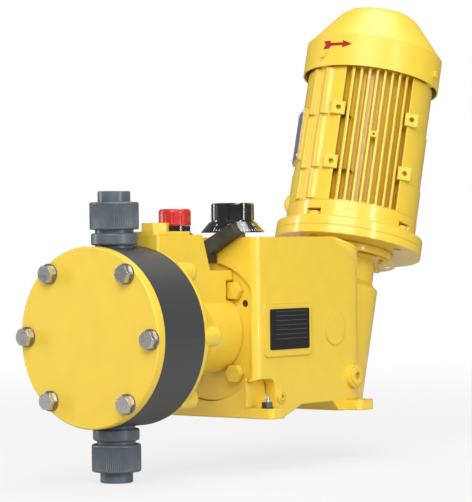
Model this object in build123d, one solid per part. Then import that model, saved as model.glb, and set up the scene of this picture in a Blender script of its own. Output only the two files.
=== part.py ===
from build123d import *
import math
import os

os.makedirs("parts", exist_ok=True)

# Driving dimensions, in millimetres and degrees.
# The base plane is z = 0, the pump axis runs along Y at x = 0, and the origin is the
# middle of the four foot holes. The pump head faces -Y and the motor stands at +Y.
seat_gap = 0.1            # radial gap of pieces that are fixed together
run_gap = 0.05            # radial gap of a shaft in its bearing
free_gap = 0.4            # room around pieces that move

axis_height = 86.0        # pump axis above the base
head_face_y = -274.0      # front of the clamping plate
plate_radius = 87.0
plate_thickness = 10.0
head_thickness = 59.0
screw_circle_radius = 78.0
screw_spread = 51.5       # angle of the upper and lower screws from the horizontal
screw_radius = 5.0
screw_hex = 16.0
screw_head_height = 6.4
washer_radius = 10.0
washer_thickness = 2.0
screw_grip = 18.0         # thread that each head screw has in the bell

diaphragm_radius = 62.0
diaphragm_thickness = 2.0
chamber_radius = 48.0
liquid_chamber_depth = 7.0
oil_chamber_depth = 16.0
support_thickness = 5.0
support_hole_radius = 2.5

# check valves and unions
flow_bore = 7.5
shank_radius = 18.5
shank_length = 29.0
collar_radius = 22.5
collar_height = 11.5
collar_lift = 2.0
union_neck_radius = 18.7
union_neck_height = 3.4
nut_radius = 23.8
nut_height = 26.5
nut_rib_depth = 1.2
nut_ribs = 20
socket_outer_radius = 15.8
socket_depth = 20.0       # how far the pipe goes in
socket_reach = 10.5       # length of the socket end outside the nut
socket_bore = 12.6
ball_radius = 8.0
ball_lift = 3.0
seat_bore = 6.0
seat_height = 5.0

# bell: the yellow hydraulic casing between the head and the gearbox
bell_flange_radius = 85.5
bell_flange_thickness = 7.0
bell_cone_front_radius = 74.0
bell_cone_length = 62.0
bell_barrel_radius = 42.0
boss_radius = 10.0
boss_end = 24.0           # length of a screw boss behind the head
boss_pocket_depth = 7.0
rear_flange_radius = 69.5
rear_flange_half_width = 53.5
rear_flange_thickness = 8.0
rear_bolt_circle_radius = 53.0
rear_bolt_angle = 51.5
rear_bolt_radius = 5.0
rear_bolt_hex = 17.0
rear_bolt_head = 7.0
rear_bolt_pocket = 12.0
drip_hole_radius = 3.5
drip_hole_angle = 32.5
tower_half_width = 30.0
tower_height = 97.5       # above the pump axis
tower_top_length = 68.0
tower_foot_length = 80.0
notch_height = 62.0       # notch floor above the pump axis
pad_half_width = 27.0
pad_length = 54.0
pad_thickness = 3.5
relief_plug_y = 100.8     # behind the plate face
relief_plug_hex = 25.0
relief_plug_height = 8.5
cap_y = 131.0             # behind the plate face
cap_radius = 15.9
cap_height = 16.5
cap_ring_height = 9.0
cap_ring_radius = 15.5
cap_stem_radius = 9.0

# plunger and its drive
plunger_radius = 11.0
plunger_front_y = 99.0    # behind the plate face
stroke = 12.0
liner_radius = 15.0
liner_length = 56.0
crosshead_radius = 20.0
guide_length = 11.0        # crosshead guide inside the housing's front wall
fork_width = 12.0
eccentricity = 6.0
eccentric_radius = 20.0
eccentric_width = 11.0
wheel_shaft_radius = 12.5
wheel_width = 20.0
wheel_teeth = 30
tooth_height = 4.0
worm_starts = 2
worm_radius = 20.0
worm_length = 52.0
worm_journal_radius = 12.5
worm_bearing_radius = 26.0
worm_bearing_width = 15.0
wheel_bearing_radius = 21.0
wheel_bearing_width = 11.0
mesh_gap = 0.5

# gear housing
housing_front_y = 182.0   # behind the plate face
housing_rear_y = 372.0    # behind the plate face
housing_half_width = 62.0
housing_height = 181.0
housing_wall = 12.0
room_end_y = 346.0        # behind the plate face, rear end of the gear room
room_floor = -62.0        # below the pump axis
front_corner_radius = 9.0
rear_corner_radius = 24.0
recess_depth = 12.0
shoulder_start_y = 316.0  # behind the plate face, where the top starts to slope down
shoulder_angle = 36.0
slot_half_width = 12.5
slot_top_half_width = 47.0
slot_depth = 15.0
wheel_centre_y = 315.0    # behind the plate face
foot_half_width = 80.0
foot_thickness = 10.5
foot_corner_radius = 6.0
front_foot_length = 25.0
rear_foot_start_y = 333.0
rear_foot_length = 28.0
foot_hole_radius = 5.0
foot_hole_half_spacing_x = 71.0
foot_hole_half_spacing_y = 73.0
pocket_inner_x = 49.0
pocket_length = 31.0
pocket_top = 39.0
arch_height = 10.5
arch_start_y = 226.0
arch_end_y = 322.0
label_pad_length = 79.0
label_pad_height = 53.0
label_pad_thickness = 1.6
label_pad_y = 233.0
label_length = 65.5
label_height = 41.0
label_thickness = 0.8
boss_ring_radius = 17.7
boss_ring_height = 0.8
drain_boss_radius = 12.5
drain_boss_height = 5.0
drain_y = 346.0
drain_height = 35.0
drain_plug_radius = 9.5
drain_plug_height = 2.0
drain_hex = 8.0
level_boss_radius = 6.5
level_boss_height = 2.0
level_y = 220.0
level_height = 20.0
level_plug_radius = 4.2

# earth stud in the pocket of the right front foot
stud_x = 68.0
stud_y = 190.0            # behind the plate face
stud_radius = 2.5
stud_height = 12.0
stud_nut_hex = 10.0
stud_nut_height = 5.0
stud_washer_radius = 6.0
stud_washer_thickness = 1.2

# stroke knob
knob_y = 224.0            # behind the plate face
knob_base = 185.8         # underside of the scale skirt above the base
knob_skirt_radius = 32.4
knob_neck_radius = 23.5
knob_skirt_height = 10.9
knob_radius = 21.9
knob_height = 30.0
knob_flutes = 8
spindle_radius = 6.0
spindle_grip = 14.0       # length of the spindle inside the knob
spindle_travel = 10.0
knob_turn = 300.0
knob_boss_radius = 13.0

# black guard around the slot under the knob
guard_depth = 11.0
guard_band = 13.0

# motor on its tilted axis
motor_tilt = 14.6
motor_y = 425.8           # behind the plate face, axis at the hub face
motor_height = 166.6      # hub face on the axis, above the base
barrel_radius = 38.5
neck_radius = 32.0
neck_top = 12.0
neck_length = 24.0
hub_radius = 54.0
hub_bolt_circle_radius = 46.0
hub_bolt_radius = 3.0
hub_bolt_hex = 10.0
hub_bolt_head = 4.0
adapter_radius = 80.0
adapter_thickness = 9.0
spigot_radius = 55.0
spigot_height = 3.5
flange_bolt_circle_radius = 65.0
flange_bolt_radius = 4.5
flange_nut_pocket_radius = 10.0
motor_flange_thickness = 10.5
shield_radius = 66.0
shield_height = 18.0
shaft_radius = 7.0
shaft_below_flange = 34.0
frame_core_radius = 58.0
frame_inner_radius = 53.0
frame_length = 150.0
fin_tip_radius = 70.5
fin_pitch = 8.45
fin_thickness = 2.8
fins_per_side = 10
side_rib_width = 13.0
foot_pad_side = 14.5
foot_pad_offset = 40.4
foot_pad_reach = 61.5
foot_pad_first = 80.0     # above the hub face
foot_pad_second = 140.0
foot_pad_hole_radius = 3.3
plate_pad_length = 56.0
plate_pad_width = 34.0
terminal_box_width = 86.0
terminal_box_length = 92.0
terminal_box_reach = 96.0
terminal_lid_thickness = 9.0
gland_radius = 11.0
gland_length = 12.0
cowl_radius = 74.8
cowl_start = 187.0        # above the hub face
cowl_shoulder = 222.0
cowl_cone_radius = 44.0
cowl_cone_end = 260.0
cowl_top = 269.0
cowl_wall = 1.5
cowl_screw_height = 200.0
cowl_screw_radius = 4.0
cowl_thread_radius = 2.0
cowl_screw_spread = 56.0  # angle of a cowl screw from the middle of the motor's foot side
fan_radius = 52.0
fan_height = 26.0
fan_blades = 6
rotor_core_radius = 30.0
rotor_core_length = 80.0
stator_length = 84.0
stator_bore_gap = 0.4


# ---- helpers -------------------------------------------------------------
up = (Align.CENTER, Align.CENTER, Align.MIN)
pump_turn = Rot(-90, 0, 0)          # local z becomes +Y, local y becomes -Z


def station(distance):
    """Y of a point that lies this far behind the plate face."""
    return head_face_y + distance


def on_axis(distance):
    """Frame on the pump axis with z pointing backwards."""
    return Pos(0, station(distance), axis_height) * pump_turn


def disc(radius, length, start=0.0):
    return Pos(0, 0, start) * Cylinder(radius, length, align=up)


def ring(outer, inner, length, start=0.0):
    return disc(outer, length, start) - disc(inner, length + 2, start - 1)


def hexagon(across_flats, height, start=0.0):
    sketch = RegularPolygon(across_flats / 2, 6, major_radius=False)
    return extrude(Pos(0, 0, start) * sketch, height)


def turned(points):
    """Solid of revolution about Z from (radius, height) points."""
    wire = Polyline(*[(radius, 0, height) for radius, height in points], close=True)
    return revolve(make_face(wire), Axis.Z)


def block(x_range, y_range, z_range):
    size = [high - low for low, high in (x_range, y_range, z_range)]
    return Pos(x_range[0], y_range[0], z_range[0]) * Box(*size, align=(Align.MIN,) * 3)


def on_circle(radius, angles):
    return [Pos(radius * math.cos(math.radians(a)), radius * math.sin(math.radians(a)), 0) for a in angles]


def both_sides(shape):
    return shape + mirror(shape, Plane.YZ)


def write(name, shape):
    solids = shape.solids()
    result = solids[0] if len(solids) == 1 else Compound(children=solids)
    export_step(result, "parts/" + name + ".step")


# ---- derived places ------------------------------------------------------
head_back = plate_thickness + head_thickness
valve_y = plate_thickness + head_thickness / 2
screw_angles = [0, screw_spread, 180 - screw_spread, 180, 180 + screw_spread, 360 - screw_spread]
screw_places = on_circle(screw_circle_radius, screw_angles)
rear_bolt_angles = [rear_bolt_angle, 180 - rear_bolt_angle, 180 + rear_bolt_angle, 360 - rear_bolt_angle]
rear_bolt_places = on_circle(rear_bolt_circle_radius, rear_bolt_angles)
bell_end = housing_front_y + recess_depth
rear_flange_front = bell_end - rear_flange_thickness
motor_axis = Pos(0, station(motor_y), motor_height) * Rot(-motor_tilt, 0, 0)
tilt_sine = math.sin(math.radians(motor_tilt))
tilt_cosine = math.cos(math.radians(motor_tilt))
wheel_to_motor_y = wheel_centre_y - motor_y
wheel_to_motor_z = axis_height - motor_height
centre_distance = -(wheel_to_motor_y * tilt_cosine - wheel_to_motor_z * tilt_sine)
worm_height = wheel_to_motor_y * tilt_sine + wheel_to_motor_z * tilt_cosine
wheel_radius = centre_distance - worm_radius - mesh_gap
wheel_axis = Pos(0, station(wheel_centre_y), axis_height) * Rot(0, 90, 0)
foot_angle = -45.0
cowl_screw_angles = [foot_angle + side + turn for side in (0, 180) for turn in (-cowl_screw_spread, cowl_screw_spread)]
cowl_screw_places = [Pos(0, 0, cowl_screw_height) * Rot(0, 0, angle) * Rot(0, 90, 0) for angle in cowl_screw_angles]
foot_face = Rot(0, 0, foot_angle)          # local x points at the motor's foot side


# ---- wet end -------------------------------------------------------------
def clamping_plate():
    plate = disc(plate_radius, plate_thickness)
    plate = chamfer(plate.edges().group_by(Axis.Z)[0], 1.2)
    for place in screw_places:
        plate -= place * disc(screw_radius + 0.5, plate_thickness + 2, -1)
    return on_axis(0) * plate


def liquid_head():
    head = disc(plate_radius, head_thickness)
    head -= disc(chamber_radius, liquid_chamber_depth + 1, head_thickness - liquid_chamber_depth)
    head -= disc(diaphragm_radius + seat_gap, diaphragm_thickness / 2, head_thickness - diaphragm_thickness / 2)
    for place in screw_places:
        head -= place * disc(screw_radius + 0.5, head_thickness + 2, -1)
    head = on_axis(plate_thickness) * head
    middle = Pos(0, station(valve_y), axis_height)
    for turn in (0, 180):
        side = middle * Rot(turn, 0, 0)
        head -= side * disc(collar_radius + 2, 10, plate_radius - 1.0)
        head -= side * disc(shank_radius + seat_gap, shank_length + 1, plate_radius - 1.0 - shank_length)
    head -= middle * Pos(0, 0, -plate_radius / 2) * disc(flow_bore, plate_radius)
    chamber_start = head_back - liquid_chamber_depth
    port = disc(flow_bore, chamber_start - valve_y + 1)
    head -= on_axis(valve_y) * port
    return head


def head_screws():
    length = washer_thickness + head_back + screw_grip
    screw = hexagon(screw_hex, screw_head_height, -washer_thickness - screw_head_height)
    crown = Pos(0, 0, -washer_thickness - screw_head_height) * Cone(screw_hex * 0.5, screw_hex * 0.62, 2, align=up)
    screw = screw - (hexagon(screw_hex + 6, 2, -washer_thickness - screw_head_height) - crown)
    screw += disc(screw_radius, length, -washer_thickness)
    return on_axis(0) * Compound(children=[place * screw for place in screw_places])


def head_washers():
    washer = ring(washer_radius, screw_radius + 0.3, washer_thickness, -washer_thickness)
    return on_axis(0) * Compound(children=[place * washer for place in screw_places])


def diaphragm():
    start = head_back - diaphragm_thickness / 2
    sheet = disc(diaphragm_radius, diaphragm_thickness)
    return on_axis(start) * sheet


def support_plate():
    plate = disc(chamber_radius - seat_gap, support_thickness)
    for count, radius in ((1, 0), (6, 14), (12, 27), (18, 40)):
        angles = [360 / count * i for i in range(count)]
        for place in on_circle(radius, angles):
            plate -= place * disc(support_hole_radius, support_thickness + 2, -1)
    return on_axis(head_back + oil_chamber_depth - support_thickness) * plate


# ---- valves and unions ---------------------------------------------------
# Each valve is drawn along +Z from the middle of the head; the suction side is the same
# housing turned over, with its seat at the outer end, because the flow is upwards.
collar_base = plate_radius - 1.0 + collar_lift
collar_top = collar_base + collar_height
neck_end = collar_top + union_neck_height
nut_end = neck_end + nut_height
socket_end = nut_end + socket_reach
shank_start = plate_radius - 1.0 - shank_length
thread_radius = nut_radius - 3.6
face_height = neck_end + 14.0       # where the socket end's face seats on the valve housing
cage_radius = ball_radius + 0.8
seat_outer_radius = 14.0


def valve_frame(turn):
    return Pos(0, station(valve_y), axis_height) * Rot(turn, 0, 0)


def ball_rise():
    """Height of the ball's centre above its seat's top edge."""
    return math.sqrt(ball_radius ** 2 - seat_bore ** 2)


def valve_housing(turn):
    body = disc(shank_radius, collar_base - shank_start, shank_start)
    collar = disc(collar_radius, collar_height, collar_base)
    body += fillet(collar.edges().filter_by(GeomType.CIRCLE), 2.0)
    body += disc(union_neck_radius, union_neck_height, collar_top)
    body += disc(thread_radius, face_height - neck_end, neck_end)
    body -= disc(seat_bore, face_height - shank_start + 2, shank_start - 1)
    cage_length = seat_height + ball_rise() + ball_radius + ball_lift
    if turn == 0:
        body -= disc(seat_outer_radius, seat_height + 1, shank_start - 1)
        body -= disc(cage_radius, cage_length, shank_start)
    else:
        seat_top = shank_start + cage_length
        body -= disc(cage_radius, cage_length - seat_height, shank_start + 1)
        body -= disc(seat_outer_radius, seat_height, seat_top + 1 - seat_height)
        body -= disc(seat_outer_radius, face_height, seat_top + 1)
        body += ring(seat_outer_radius + 0.5, seat_bore + 3, face_height - seat_top - 1, seat_top + 1)
    return valve_frame(turn) * body


def valve_seat(turn):
    seat = ring(seat_outer_radius - seat_gap, seat_bore, seat_height)
    cage_length = seat_height + ball_rise() + ball_radius + ball_lift
    if turn == 0:
        return valve_frame(turn) * Pos(0, 0, shank_start) * seat
    return valve_frame(turn) * Pos(0, 0, shank_start + cage_length + 1 - seat_height) * seat


def valve_ball(turn):
    cage_length = seat_height + ball_rise() + ball_radius + ball_lift
    if turn == 0:
        centre = axis_height + shank_start + seat_height + ball_rise() + 0.02
    else:
        centre = axis_height - (shank_start + cage_length + 1 - seat_height) + ball_rise() + 0.02
    return Pos(0, station(valve_y), centre) * Sphere(ball_radius)


def union_nut(turn):
    nut = disc(nut_radius, nut_height, neck_end)
    nut = chamfer(nut.edges().filter_by(GeomType.CIRCLE), 1.5)
    groove = Pos(nut_radius + 0.6, 0, neck_end + 3.5) * Box(3.2, 2.6, nut_height, align=up)
    for index in range(nut_ribs):
        nut -= Rot(0, 0, 360 / nut_ribs * index) * groove
    nut -= disc(thread_radius + free_gap, nut_height - 4, neck_end - 0.5)
    nut -= disc(socket_outer_radius + free_gap, nut_height + 2, neck_end)
    nut -= disc(union_neck_radius + free_gap, 2, neck_end - 1)
    return valve_frame(turn) * nut


def pipe_socket(turn):
    flange_radius = thread_radius - 0.6
    flange_top = nut_end - 4.9
    end = disc(flange_radius, flange_top - face_height, face_height)
    end += disc(socket_outer_radius, socket_end - face_height, face_height)
    end = chamfer(end.edges().group_by(Axis.Z)[-1], 0.8)
    end -= disc(seat_bore + 3, socket_end, face_height - 1)
    end -= disc(socket_bore, socket_depth + 1, socket_end - socket_depth)
    return valve_frame(turn) * end


# ---- bell ----------------------------------------------------------------
def bell():
    cone_start = head_back + bell_flange_thickness
    cone_end = cone_start + bell_cone_length
    profile = [
        (0, head_back),
        (bell_flange_radius, head_back),
        (bell_flange_radius, cone_start),
        (bell_cone_front_radius, cone_start + 2),
        (bell_barrel_radius, cone_end),
        (bell_barrel_radius, rear_flange_front),
        (0, rear_flange_front),
    ]
    body = Pos(0, head_face_y, axis_height) * pump_turn * turned(profile)
    flange = disc(rear_flange_radius, rear_flange_thickness) & Box(
        2 * rear_flange_half_width, 3 * rear_flange_radius, 4 * rear_flange_thickness)
    body += on_axis(rear_flange_front) * flange
    tower_side = Polyline(
        (head_back, 0),
        (head_back, tower_height),
        (head_back + tower_top_length, tower_height),
        (head_back + tower_foot_length, notch_height),
        (rear_flange_front, notch_height),
        (rear_flange_front, 0),
        close=True,
    )
    tower = extrude(Plane.YZ * make_face(tower_side), tower_half_width, both=True)
    tower = Pos(0, head_face_y, axis_height) * tower
    tower = fillet(tower.edges().filter_by(Axis.Z).group_by(Axis.Y)[0], 2.5)
    body += tower
    body += Pos(0, station(cap_y), axis_height + notch_height - 1) * disc(
        cap_ring_radius + 2.5, tower_height - notch_height + 1)
    pad = Pos(0, station(head_back + 1 + pad_length / 2), axis_height + tower_height)
    pad = pad * Box(2 * pad_half_width, pad_length, pad_thickness, align=up)
    pad = fillet(pad.edges().filter_by(Axis.Z), 4)
    pad = fillet(pad.faces().sort_by(Axis.Z)[-1].edges(), 1)
    body += pad
    for place in screw_places:
        body += on_axis(head_back) * place * disc(boss_radius, boss_end)
        pocket = disc(boss_radius + 2, boss_pocket_depth, boss_end)
        body -= on_axis(head_back) * place * pocket
    # oil chamber, plunger bore and the valve wells in the tower
    body -= on_axis(head_back) * disc(chamber_radius, oil_chamber_depth)
    body -= on_axis(head_back) * disc(diaphragm_radius + seat_gap, diaphragm_thickness / 2)
    body -= on_axis(head_back) * disc(liner_radius + seat_gap, bell_end - head_back + 1)
    for place in screw_places:
        body -= on_axis(head_back) * place * disc(screw_radius + seat_gap, screw_grip + 2, -1)
    for place in rear_bolt_places:
        body -= on_axis(rear_flange_front) * place * disc(rear_bolt_radius + 0.4, rear_flange_thickness + 2, -1)
        body -= on_axis(rear_flange_front - rear_bolt_pocket) * place * disc(rear_bolt_hex * 0.65, rear_bolt_pocket)
    body -= on_axis(bell_end - stroke) * disc(crosshead_radius + free_gap, stroke + 1)
    body -= Pos(0, station(cap_y), axis_height + tower_height) * disc(cap_ring_radius + free_gap, 10)
    drip = on_circle(rear_bolt_circle_radius, [-drip_hole_angle])[0]
    body -= on_axis(rear_flange_front) * drip * disc(drip_hole_radius, 6, -1)
    well_floor = axis_height + 30
    for distance in (relief_plug_y, cap_y):
        body -= Pos(0, station(distance), well_floor) * disc(cap_stem_radius + seat_gap, tower_height + 20)
    return body


def relief_plug():
    base = axis_height + tower_height + pad_thickness
    plug = hexagon(relief_plug_hex, relief_plug_height)
    plug += disc(cap_stem_radius, 24, -24)
    return Pos(0, station(relief_plug_y), base) * plug


def fill_neck():
    base = axis_height + tower_height
    neck = ring(cap_ring_radius, 5.5, cap_ring_height)
    neck += ring(cap_stem_radius, 5.5, 16, -16)
    return Pos(0, station(cap_y), base) * neck


def fill_cap():
    base = axis_height + tower_height + cap_ring_height
    cap = disc(cap_radius, cap_height)
    cap = fillet(cap.edges().group_by(Axis.Z)[-1], 3)
    grip = Pos(cap_radius + 0.7, 0, -1) * disc(1.8, cap_height - 3)
    for index in range(12):
        cap -= Rot(0, 0, 30 * index) * grip
    cap += disc(5.5 - free_gap, 8, -8)
    return Pos(0, station(cap_y), base + 0.3) * cap


def plunger_liner():
    liner = ring(liner_radius, plunger_radius + run_gap, liner_length)
    return on_axis(head_back + oil_chamber_depth + 20) * liner


def bell_bolts():
    bolt = hexagon(rear_bolt_hex, rear_bolt_head, -rear_bolt_head)
    bolt += disc(rear_bolt_radius, rear_flange_thickness + 10, 0)
    return on_axis(rear_flange_front) * Compound(children=[place * bolt for place in rear_bolt_places])


# ---- gear housing --------------------------------------------------------
def side_prism(points, low, high):
    """Prism across X from (distance, height above the axis) points."""
    face = make_face(Polyline(*points, close=True))
    solid = extrude(Plane.YZ * face, high - low)
    return Pos(low, head_face_y, axis_height) * solid


def housing_block():
    middle = (housing_front_y + housing_rear_y) / 2
    length = housing_rear_y - housing_front_y
    box = Box(2 * housing_half_width, length, housing_height, align=up)
    upright = box.edges().filter_by(Axis.Z)
    box = fillet(upright.group_by(Axis.Y)[0], front_corner_radius)
    box = fillet(box.edges().filter_by(Axis.Z).group_by(Axis.Y)[-1], rear_corner_radius)
    box = Pos(0, station(middle), 0) * box
    top = housing_height - axis_height
    fall = math.tan(math.radians(shoulder_angle)) * (housing_rear_y + 40 - shoulder_start_y)
    wedge = [(shoulder_start_y, top), (housing_rear_y + 40, top - fall), (housing_rear_y + 40, top + 40),
             (shoulder_start_y, top + 40)]
    box -= side_prism(wedge, -housing_half_width - 5, housing_half_width + 5)
    return box


def foot_lugs():
    lugs = block((0, foot_half_width), (station(housing_front_y), station(housing_front_y + front_foot_length)),
                 (0, foot_thickness))
    rear = block((0, foot_half_width), (station(rear_foot_start_y), station(rear_foot_start_y + rear_foot_length)),
                 (0, foot_thickness))
    lugs = fillet(lugs.edges().filter_by(Axis.Z).group_by(Axis.X)[-1], foot_corner_radius)
    rear = fillet(rear.edges().filter_by(Axis.Z).group_by(Axis.X)[-1], foot_corner_radius)
    return both_sides(lugs + rear)


def gear_housing():
    body = housing_block()
    barrel_bottom = -220.0
    neck_bottom = -neck_top - neck_length
    barrel = turned([
        (0, barrel_bottom), (barrel_radius, barrel_bottom), (barrel_radius, neck_bottom - 6),
        (neck_radius, neck_bottom), (neck_radius, -neck_top), (hub_radius, -neck_top), (hub_radius, 0), (0, 0)])
    body += motor_axis * barrel
    body += foot_lugs()
    body &= block((-200, 200), (station(housing_front_y), 400), (0, 400))
    # raised pads and bosses on the right side
    side = housing_half_width
    label_z = axis_height + 1
    pad = Box(label_pad_thickness + 2, label_pad_length, label_pad_height)
    pad = fillet(pad.edges().filter_by(Axis.X), 5)
    body += Pos(side + label_pad_thickness / 2 - 1, station(label_pad_y), label_z) * pad
    sideways = Rot(0, 90, 0)
    body += Pos(side - 1, station(wheel_centre_y), axis_height) * sideways * disc(boss_ring_radius, 1 + boss_ring_height)
    body += Pos(side - 1, station(drain_y), drain_height) * sideways * disc(drain_boss_radius, 1 + drain_boss_height)
    body += Pos(side - 1, station(level_y), level_height) * sideways * disc(level_boss_radius, 1 + level_boss_height)
    # pockets over the front feet
    pocket = Box(40, pocket_length, pocket_top - foot_thickness, align=(Align.MIN, Align.MIN, Align.MIN))
    pocket = fillet(pocket.edges().filter_by(Axis.X).group_by(Axis.Z)[-1], 9)
    pocket = Pos(pocket_inner_x, station(housing_front_y) - 2, foot_thickness) * pocket
    body -= both_sides(pocket)
    # arch between the feet
    arch = [(arch_start_y, -axis_height - 1), (arch_start_y + 30, -axis_height + arch_height),
            (arch_end_y - 12, -axis_height + arch_height), (arch_end_y, -axis_height - 1)]
    body -= side_prism(arch, -foot_half_width, foot_half_width)
    # recess for the bell's rear flange
    recess = disc(rear_flange_radius + seat_gap + 0.4, recess_depth + 1, -1) & Box(
        2 * (rear_flange_half_width + 0.5), 3 * rear_flange_radius, 6 * recess_depth)
    body -= on_axis(housing_front_y) * recess
    # slot under the knob
    slot_face = make_face(Polyline((-slot_half_width, 30), (slot_half_width, 30), (slot_half_width, 79),
                                   (slot_top_half_width, 99), (-slot_top_half_width, 99), (-slot_half_width, 79),
                                   close=True))
    slot = extrude(Plane.XZ * slot_face, -slot_depth - 2)
    body -= Pos(0, station(housing_front_y) - 2, axis_height) * slot
    body += Pos(0, station(knob_y), housing_height - 1) * disc(knob_boss_radius, knob_base - housing_height + 1)
    # inside
    inner = housing_half_width - housing_wall
    roof = housing_height - axis_height - housing_wall
    fall = math.tan(math.radians(shoulder_angle)) * (room_end_y - shoulder_start_y + housing_wall)
    room = [(bell_end + housing_wall, room_floor), (bell_end + housing_wall, roof),
            (shoulder_start_y - housing_wall, roof), (room_end_y, roof - fall), (room_end_y, room_floor)]
    body -= side_prism(room, -inner, inner)
    body -= wheel_axis * Pos(0, 0, -wheel_width / 2 - 2) * disc(wheel_radius + 1.5, wheel_width + 4)
    bore_bottom = worm_height - worm_length / 2 - worm_bearing_width - 6
    body -= motor_axis * disc(worm_bearing_radius + seat_gap, 1 - bore_bottom, bore_bottom)
    body -= wheel_axis * Pos(0, 0, -inner - 5) * disc(wheel_bearing_radius + seat_gap, 2 * inner + 10)
    body += on_axis(bell_end + housing_wall - 1) * disc(crosshead_radius + 7, guide_length + 1)
    body -= on_axis(bell_end - 1) * disc(crosshead_radius + run_gap, housing_wall + guide_length + 2)
    body -= Pos(0, station(knob_y), housing_height - 30) * disc(spindle_radius + run_gap, 60)
    for place in rear_bolt_places:
        body -= on_axis(bell_end) * place * disc(rear_bolt_radius + seat_gap, 10.5)
    for turn in hub_bolt_turns():
        place = motor_axis * Rot(0, 0, turn) * Pos(hub_bolt_circle_radius, 0, 0)
        body -= place * disc(hub_bolt_radius + 0.3, neck_top + 2, -neck_top - 1)
        body -= place * disc(hub_bolt_hex * 0.8, 14, -neck_top - 14)
    for sign_x in (-1, 1):
        for sign_y in (-1, 1):
            hole = Pos(sign_x * foot_hole_half_spacing_x, sign_y * foot_hole_half_spacing_y, -1)
            body -= hole * disc(foot_hole_radius, foot_thickness + 2)
    body -= Pos(side - 14, station(drain_y), drain_height) * sideways * disc(drain_plug_radius - 2 + seat_gap, 40)
    body -= Pos(side - 8, station(level_y), level_height) * sideways * disc(level_plug_radius - 1 + seat_gap, 40)
    body -= Pos(stud_x, station(stud_y), foot_thickness - 6) * disc(stud_radius + seat_gap, 12)
    return body


def hub_bolt_turns():
    return [-45 * step for step in range(-3, 6) if step != 2][:7]


def hub_bolts():
    bolt = hexagon(hub_bolt_hex, hub_bolt_head, -neck_top - hub_bolt_head)
    bolt += disc(hub_bolt_radius, neck_top + 5, -neck_top)
    solids = [motor_axis * Rot(0, 0, turn) * Pos(hub_bolt_circle_radius, 0, 0) * bolt for turn in hub_bolt_turns()]
    return Compound(children=solids)


def label_plate():
    plate = Box(label_thickness, label_length, label_height)
    plate = fillet(plate.edges().filter_by(Axis.X), 2)
    x = housing_half_width + label_pad_thickness + label_thickness / 2
    return Pos(x, station(label_pad_y + 1.5), axis_height + 2) * plate


def drain_plug():
    plug = disc(drain_plug_radius, drain_plug_height) + disc(drain_plug_radius - 2, 12, -12)
    plug = chamfer(plug.edges().group_by(Axis.Z)[-1], 0.6)
    plug -= hexagon(drain_hex, 6, drain_plug_height - 5)
    x = housing_half_width + drain_boss_height
    return Pos(x, station(drain_y), drain_height) * Rot(0, 90, 0) * plug


def level_plug():
    plug = disc(level_plug_radius, 1.2) + disc(level_plug_radius - 1, 7, -7)
    plug -= hexagon(4, 4, -2)
    x = housing_half_width + level_boss_height
    return Pos(x, station(level_y), level_height) * Rot(0, 90, 0) * plug


def earth_stud():
    return Pos(stud_x, station(stud_y), foot_thickness - 5) * disc(stud_radius, stud_height + 5)


def earth_nut():
    nut = hexagon(stud_nut_hex, stud_nut_height, stud_washer_thickness)
    nut += disc(stud_washer_radius, stud_washer_thickness)
    nut -= disc(stud_radius + seat_gap, 20, -1)
    return Pos(stud_x, station(stud_y), foot_thickness) * nut


def slot_guard():
    low = slot_half_width
    high = slot_top_half_width - 1
    rise = guard_band
    right = make_face(Polyline((low - rise, 68), (low - 1, 72), (low - 1, 78), (high, 98), (high - 9, 108),
                               (low - rise - 3, 87), close=True))
    leg = extrude(Plane.XZ * right, guard_depth)
    guard = both_sides(leg)
    return Pos(0, station(housing_front_y), axis_height) * guard


# ---- plunger drive -------------------------------------------------------
fork_reach = wheel_centre_y - eccentric_radius - eccentricity - 1.0
crosshead_front = bell_end + 4
crosshead_back = wheel_centre_y - wheel_radius - 4


def plunger():
    rod = disc(plunger_radius, crosshead_front - plunger_front_y)
    return on_axis(plunger_front_y) * rod


def crosshead():
    body = disc(crosshead_radius, crosshead_back - crosshead_front)
    body = on_axis(crosshead_front) * body
    inner = wheel_width / 2 + 3
    for sign in (-1, 1):
        low, high = sorted((sign * inner, sign * (inner + fork_width)))
        z_range = (axis_height - 9, axis_height + 9)
        body += block((low, high), (station(crosshead_back - 14), station(fork_reach)), z_range)
    return body


def worm_wheel():
    root = wheel_radius - tooth_height
    wheel = disc(root, wheel_width, -wheel_width / 2)
    half = math.pi * wheel_radius / wheel_teeth / 2
    tooth = make_face(Polyline((root - 1, -half * 1.3), (wheel_radius, -half * 0.6), (wheel_radius, half * 0.6),
                               (root - 1, half * 1.3), close=True))
    tooth = Pos(0, 0, -wheel_width / 2) * extrude(tooth, wheel_width)
    for index in range(wheel_teeth):
        wheel += Rot(0, 0, 360 / wheel_teeth * index) * tooth
    wheel -= disc(wheel_shaft_radius + seat_gap, 60, -30)
    for place in on_circle(root * 0.62, [60 * i for i in range(6)]):
        wheel -= place * disc(7, wheel_width + 2, -wheel_width / 2 - 1)
    return wheel_axis * wheel


def eccentric_shaft():
    half = housing_half_width - 8
    shaft = disc(wheel_shaft_radius, 2 * half, -half)
    offset = wheel_width / 2 + 3.5
    for start in (offset, -offset - eccentric_width):
        shaft += Pos(eccentricity, 0, 0) * disc(eccentric_radius, eccentric_width, start)
    return wheel_axis * shaft


def wheel_bearings():
    inner = housing_half_width - housing_wall
    outer = ring(wheel_bearing_radius, wheel_shaft_radius + run_gap, wheel_bearing_width)
    return wheel_axis * Compound(children=[Pos(0, 0, z) * outer for z in (inner - 8, -inner + 8 - wheel_bearing_width)])


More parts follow.
